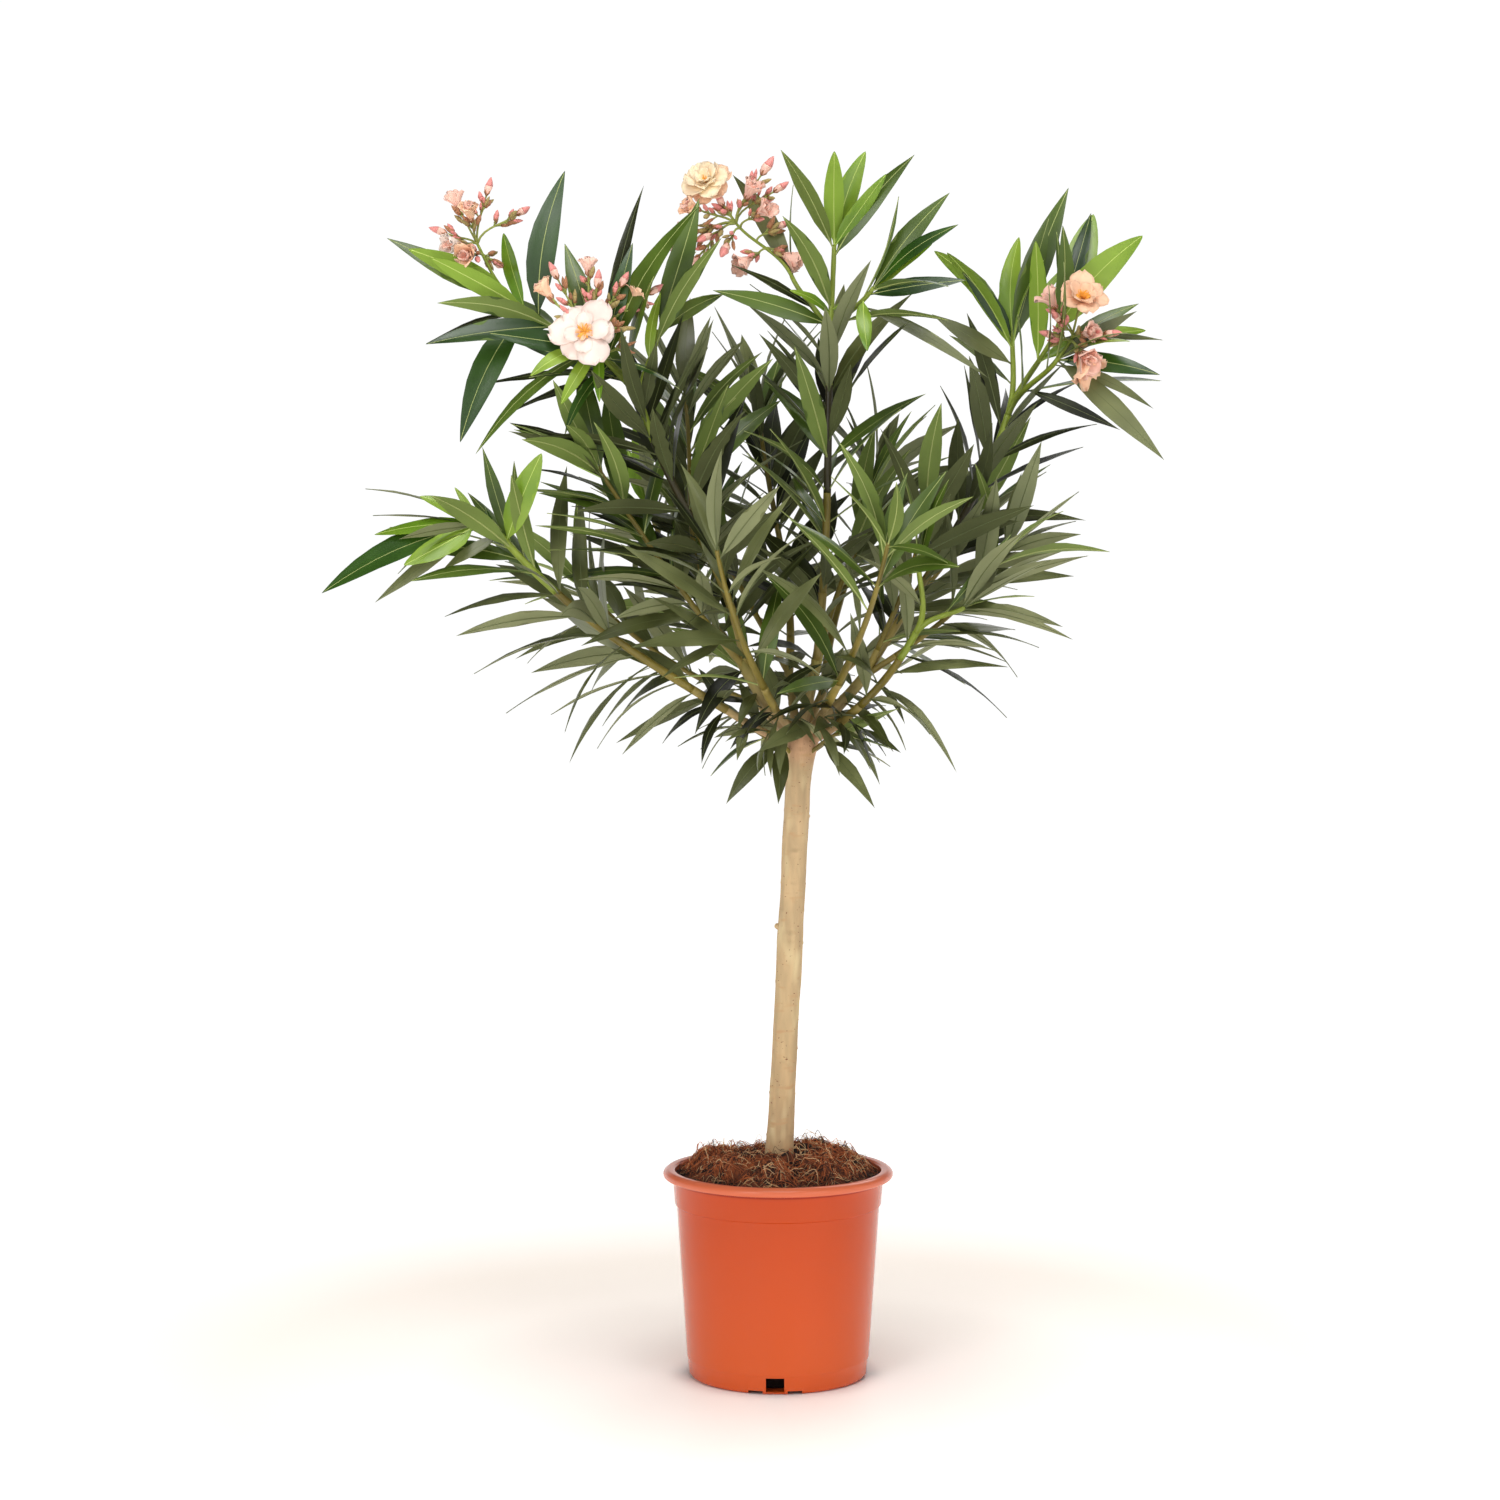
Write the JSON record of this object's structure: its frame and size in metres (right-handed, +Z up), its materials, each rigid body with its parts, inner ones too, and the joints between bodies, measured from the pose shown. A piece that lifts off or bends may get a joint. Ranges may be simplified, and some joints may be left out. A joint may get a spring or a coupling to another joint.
{
  "type": "potted oleander",
  "caption": "Flowering oleander grown as a standard: a clear stem in a round nursery pot, with an open crown of narrow leaves and apricot double blossom.",
  "frame": {"origin": "middle of the pot's flat underside, where it stands on the ground", "axes": "+Z up along the plant's height, -Y towards the side that the plant is looked at from, +X to the right of that view"},
  "size_m": [0.7449, 0.5322, 1.1095],
  "materials": {
    "pot": "satin terracotta-coloured plastic",
    "soil": "matt dark brown potting soil with coir fibre",
    "bark": "matt pale tan bark",
    "bough": "matt olive-brown young bark",
    "foliage": "satin leathery green leaves with apricot blossom"
  },
  "bodies": {
    "root": {"pot": "pot", "soil": "soil", "trunk": "bark", "bough_left": "bough", "bough_middle": "bough", "bough_right": "bough", "bough_low_left": "bough", "bough_back_left": "bough", "bough_low_right": "bough", "bough_back_right": "bough", "bough_front_left": "bough", "bough_back_outer": "bough", "bough_front_right": "bough", "foliage_left_upper": "foliage", "foliage_left_inner": "foliage", "foliage_left_outer": "foliage", "foliage_middle_leader": "foliage", "foliage_middle_back": "foliage", "foliage_right_leader": "foliage", "foliage_right_inner": "foliage", "foliage_right_outer": "foliage", "foliage_low_left_leader": "foliage", "foliage_back_left_leader": "foliage", "foliage_back_left_inner": "foliage", "foliage_low_right_leader": "foliage", "foliage_back_right_leader": "foliage", "foliage_back_right_outer": "foliage", "foliage_front_left_leader": "foliage", "foliage_back_outer_leader": "foliage", "foliage_back_outer_low": "foliage", "foliage_front_right_leader": "foliage", "foliage_skirt_left": "foliage", "foliage_skirt_front": "foliage", "foliage_skirt_right": "foliage", "foliage_skirt_side": "foliage", "foliage_skirt_back": "foliage"}
  },
  "joints": []
}
